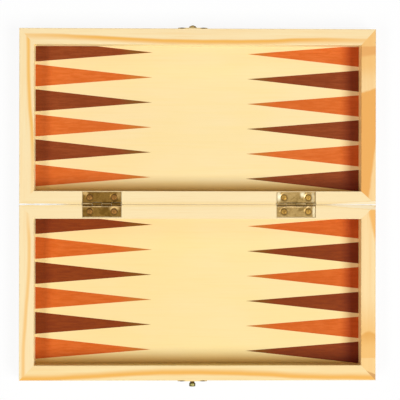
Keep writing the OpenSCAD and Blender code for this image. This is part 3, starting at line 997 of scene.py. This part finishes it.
def screw_pair(screws, axis=1):
    """Where two screws lie side by side along x, as a dish's inputs, and the radius of their heads."""
    low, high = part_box(screws)
    head = (high[axis] - low[axis]) / 2
    seats = {
        "Middle x": (low[0] + high[0]) / 2,
        "Half gap": (high[0] - low[0]) / 2 - head,
        "Y": (low[axis] + high[axis]) / 2,
    }
    return seats, head


def line_along(tree, y, line_y, strength):
    """A soft-edged line along x at line_y, as a mask of up to strength."""
    away = calc(tree, "ABSOLUTE", calc(tree, "SUBTRACT", y, line_y))
    return ramp(tree, away, LINE_FULL, LINE_GONE, strength, 0.0)


def leaf_brass(name, screws, bright, dull, glint_tone, amount, highlight_y, glints):
    """A hinge leaf's brass: dished and darker round its screws, with painted shade along the barrels' seam,
    a painted highlight along its barrel and painted glints.
    """
    material, tree, shader, colour, age = aged_metal(name, bright, dull, amount)
    place = object_place(tree)
    seats, head = screw_pair(screws)
    dish = use(tree, SCREW_DISH, {"Place": place, "Head": head, **seats})
    _, y, _ = parts_of(tree, place)
    bare = ramp(tree, age["Dull"], 0.1, 0.8, 1.0, 0.35)
    # A painted highlight line along the barrel, fainter where tarnished
    highlight_line = calc(tree, "MULTIPLY", line_along(tree, y, highlight_y, 0.85), bare)
    # A painted shade line along the barrels' seam
    shade_line = line_along(tree, y, SHADE_LINE_Y, 0.8)
    # Darker round the screws, with the painted shade line of the seam
    darkening = calc(tree, "MAXIMUM", calc(tree, "MULTIPLY", dish["Near head"], 0.5), shade_line)
    # Painted glints, where the lamps would shine off the leaf
    for strength, x, glint_y, half_length, half_width in glints:
        glint = use(
            tree,
            SOFT_SPOT,
            {"Place": place, "X": x, "Y": glint_y, "Half length": half_length, "Half width": half_width},
        )
        colour = blend(tree, calc(tree, "MULTIPLY", glint["Inside"], strength), colour, glint_tone)
    colour = blend(tree, darkening, colour, BRASS_DARK)
    # Lay the painted highlight line
    colour = blend(tree, highlight_line, colour, RUBBED_AND_HIGHLIT_BRASS)
    join(tree, colour, shader.inputs["Base Color"])
    join(tree, ramp(tree, age["Dull"], 0.0, 1.0, 0.28, 0.5), shader.inputs["Roughness"])
    fine = calc(tree, "MULTIPLY_ADD", age["Scratch"], 0.6, age["Dull"])
    relief = calc(tree, "MULTIPLY_ADD", fine, 0.08, dish["Rise"])
    raised(tree, relief, DISH_DEPTH, shader)
    return material


def screw_brass(name, screws, bright, dull):
    """Two screws' brass: each head flecked with bright brass and darker towards the edge of its dome."""
    material, tree, shader, colour, _ = aged_metal(name, bright, dull, amount=0.6, edge=FINE_EDGE)
    place = object_place(tree)
    seats, head = screw_pair(screws)
    dish = use(tree, SCREW_DISH, {"Place": place, "Head": 0.0, "Width": head, **seats})
    speck = noise(tree, place, SPECK_SIZE, 2.0, 0.6)
    colour = blend(tree, ramp(tree, speck, 0.4, 0.65), colour, bright)
    colour = veiled(tree, colour, dish["Rise"], 0.75, 1.0, 0.7, BRASS_DARK)
    join(tree, colour, shader.inputs["Base Color"])
    join(tree, ramp(tree, speck, 0.3, 0.7, 0.65, 0.5), shader.inputs["Roughness"])
    raised(tree, speck, DOME_RELIEF, shader)
    return material


def plate_brass(name, plate, screws):
    """A latch plate's brass: painted light on its upper edge, and darker round its screws' heads and on
    that edge above them.
    """
    material, tree, shader, colour, age = aged_metal(name, *PLATE_TONES, amount=0.5)
    x, _, z = parts_of(tree, object_place(tree))
    seats, head = screw_pair(screws, axis=2)
    dish = use(tree, SCREW_DISH, {"Place": place_of(tree, x, z, 0.0), "Head": head, **seats})
    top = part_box(plate)[1][2]
    upper = ramp(tree, z, top - TOP_GONE, top - TOP_FULL)
    aside = calc(tree, "ABSOLUTE", calc(tree, "SUBTRACT", x, seats["Middle x"]))
    from_screw = calc(tree, "ABSOLUTE", calc(tree, "SUBTRACT", aside, seats["Half gap"]))
    above = calc(tree, "MULTIPLY", ramp(tree, from_screw, DARKENING_FULL, DARKENING_GONE, 0.95, 0.0), upper)
    # Painted light along the plate's upper edge
    colour = blend(tree, calc(tree, "MULTIPLY", upper, 0.8), colour, PLATE_TOP_LIGHT)
    # Darker round the screws' heads and on the upper edge above them
    darkening = calc(tree, "MAXIMUM", calc(tree, "MULTIPLY", dish["Near head"], 0.6), above)
    join(tree, blend(tree, darkening, colour, BRASS_DARK), shader.inputs["Base Color"])
    join(tree, ramp(tree, age["Dull"], 0.0, 1.0, 0.4, 0.6), shader.inputs["Roughness"])
    raised(tree, age["Dull"], METAL_RELIEF, shader)
    return material


def peg_brass():
    """The peg's brass: a greenish knob on a neck painted dark with shade."""
    material, tree, shader, colour, age = aged_metal("peg_brass", *PEG_TONES, amount=0.5, edge=FINE_EDGE)
    _, y, _ = parts_of(tree, object_place(tree))
    neck_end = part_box("catch_peg")[0][1] + PEG_KNOB
    neck_shade = ramp(tree, y, neck_end - NECK_TURN, neck_end + NECK_TURN)
    # Painted shade on the neck behind the knob
    colour = blend(tree, neck_shade, colour, PEG_NECK_SHADE)
    join(tree, colour, shader.inputs["Base Color"])
    join(tree, ramp(tree, age["Dull"], 0.0, 1.0, 0.45, 0.6), shader.inputs["Roughness"])
    raised(tree, age["Dull"], METAL_RELIEF, shader)
    return material


def dress(material, *names):
    """Gives CAD nodes a material."""
    for name in names:
        mesh = NODES[name].data
        mesh.materials.clear()
        mesh.materials.append(material)


def break_edges(width, *names):
    """Takes the sharpness off a node's edges with a hair-fine chamfer."""
    for name in names:
        weld = NODES[name].modifiers.new("weld", "WELD")
        weld.merge_threshold = SAME_POINT
        bevel = NODES[name].modifiers.new("broken_edge", "BEVEL")
        bevel.width = width
        bevel.segments = 2
        bevel.limit_method = "ANGLE"
        bevel.angle_limit = SHARP_ANGLE
        bevel.harden_normals = False


def dress_wood():
    """Dresses the rails, the panels and what is let into them."""
    for name, board in RAILS.items():
        dress(pine(name, **board), name)
    for tray, stains in STAINS.items():
        dress(panel_wood(tray + "_floor_wood", tray), tray + "_panel")
        for stain, tones in stains.items():
            veneer = tray + "_" + stain
            dress(stained_points(veneer + "_stain", tray, *tones), veneer + "_points")
        squares = tray + "_dark_squares"
        dress(dark_squares(tray + "_walnut", squares), squares)


def dress_metal():
    """Dresses the hinges and the latch."""
    for side, tones in LEAF_TONES.items():
        for tray, highlight_y in HIGHLIGHT_LINE_Y.items():
            leaf = side + "_hinge_" + tray
            metal = leaf_brass(leaf + "_brass", leaf + "_screws", *tones, highlight_y, LEAF_GLINTS[leaf])
            dress(metal, leaf + "_leaf")
    for side, (bright, dull) in SCREW_TONES.items():
        for tray in ("base", "lid"):
            screws = side + "_hinge_" + tray + "_screws"
            dress(screw_brass(screws + "_brass", screws, bright, dull), screws)
    dark_brass = brass("plate_screw_brass", *PLATE_SCREW_TONES, amount=0.6, rough=(0.5, 0.7), edge=0.00008)
    dress(dark_brass, "peg_plate_screws", "hook_plate_screws")
    dress(peg_brass(), "catch_peg")
    latch_brass = brass("latch_brass", *LATCH_TONES, amount=0.6, edge=0.00012)
    dress(latch_brass, "hook_rivet", "hook_spacer")
    for plate in ("peg_plate", "hook_plate"):
        dress(plate_brass(plate + "_brass", plate, plate + "_screws"), plate)
    dress(brass("hook_brass", *HOOK_TONES, amount=0.5, rough=(0.45, 0.6)), "hook_arm")
    pin_steel = brass("pin_steel", *STEEL_TONES, amount=0.4, edge=FINE_EDGE)
    dress(pin_steel, "left_hinge_pin", "right_hinge_pin")


# Stage, lamps and camera


def is_seen(tree):
    """1 where the camera, a reflection or glass looks at a surface, 0 where only light reaches it."""
    path = tree.nodes.new("ShaderNodeLightPath").outputs
    seen = calc(tree, "MAXIMUM", path["Is Camera Ray"], path["Is Glossy Ray"])
    return calc(tree, "MAXIMUM", seen, path["Is Transmission Ray"])


def make_floor():
    """A plain pale table; where it is seen, most of it is white, and the rest keeps the box's shadow."""
    bpy.ops.mesh.primitive_plane_add(size=TABLE_SIZE, location=(0, 0, 0))
    table = bpy.context.object
    table.name = "table"
    material, tree, shader = new_material("pale_table")
    shader.inputs["Base Color"].default_value = (TABLE_GREY, TABLE_GREY, TABLE_GREY, 1.0)
    shader.inputs["Roughness"].default_value = TABLE_ROUGH
    white = add(tree, "ShaderNodeEmission", {"Color": WHITE, "Strength": 1.0})
    share = calc(tree, "MULTIPLY", is_seen(tree), TABLE_WHITE)
    both = add(tree, "ShaderNodeMixShader", {0: share, 1: shader.outputs[0], 2: white.outputs[0]})
    end = next(node for node in tree.nodes if node.type == "OUTPUT_MATERIAL")
    tree.links.new(both.outputs[0], end.inputs[0])
    table.data.materials.append(material)


def make_world():
    """Even light from all round; what the camera and metal see is a pale studio."""
    world = bpy.data.worlds.new("studio")
    bpy.context.scene.world = world
    world.use_nodes = True
    tree = world.node_tree
    tree.nodes.clear()
    share = calc(tree, "MULTIPLY_ADD", is_seen(tree), 1.0 - FILL, FILL)
    strength = calc(tree, "MULTIPLY", share, STAGE_LIGHT)
    ground = add(tree, "ShaderNodeBackground", {"Color": WHITE, "Strength": strength})
    end = tree.nodes.new("ShaderNodeOutputWorld")
    tree.links.new(ground.outputs[0], end.inputs[0])


def make_softbox(name, side, width, power):
    """A lamp like a photographer's softbox, level and facing down.

    Its width is a share of its height, and its power is given for a lamp one metre up.
    """
    lamp = bpy.data.lights.new(name, "AREA")
    lamp.shape = "RECTANGLE"
    lamp.size = width * LAMP_RISE
    lamp.size_y = LAMP_DEPTH * LAMP_RISE
    lamp.energy = power * STAGE_LIGHT * LAMP_RISE**2
    holder = bpy.data.objects.new(name, lamp)
    holder.location = (side * LAMP_ASIDE * LAMP_RISE, -LAMP_FORWARD * LAMP_RISE, LAMP_RISE)
    holder.visible_camera = False
    bpy.context.scene.collection.objects.link(holder)


def make_camera():
    """The photograph's camera: high above the box, left of its middle and turned back to it."""
    camera = bpy.data.cameras.new("camera")
    camera.sensor_width = SENSOR_MM
    camera.lens = PX_PER_MM * CAMERA_RISE * PER_MM * camera.sensor_width / PICTURE_PX
    camera.clip_end = CAMERA_RANGE
    holder = bpy.data.objects.new("camera", camera)
    holder.location = (-CAMERA_LEFT, CAMERA_BACK, RIM_Z + CAMERA_RISE)
    holder.rotation_euler = (0, -CAMERA_TURN, CAMERA_ROLL)
    bpy.context.scene.collection.objects.link(holder)
    bpy.context.scene.camera = holder


# The scene

dress_wood()
dress_metal()
break_edges(BROKEN_EDGE, *RAILS)
make_floor()
make_world()
make_softbox("right_softbox", 1, RIGHT_WIDTH, RIGHT_POWER)
make_softbox("left_softbox", -1, LEFT_WIDTH, LEFT_POWER)
make_camera()
bpy.context.scene.view_settings.view_transform = "Standard"
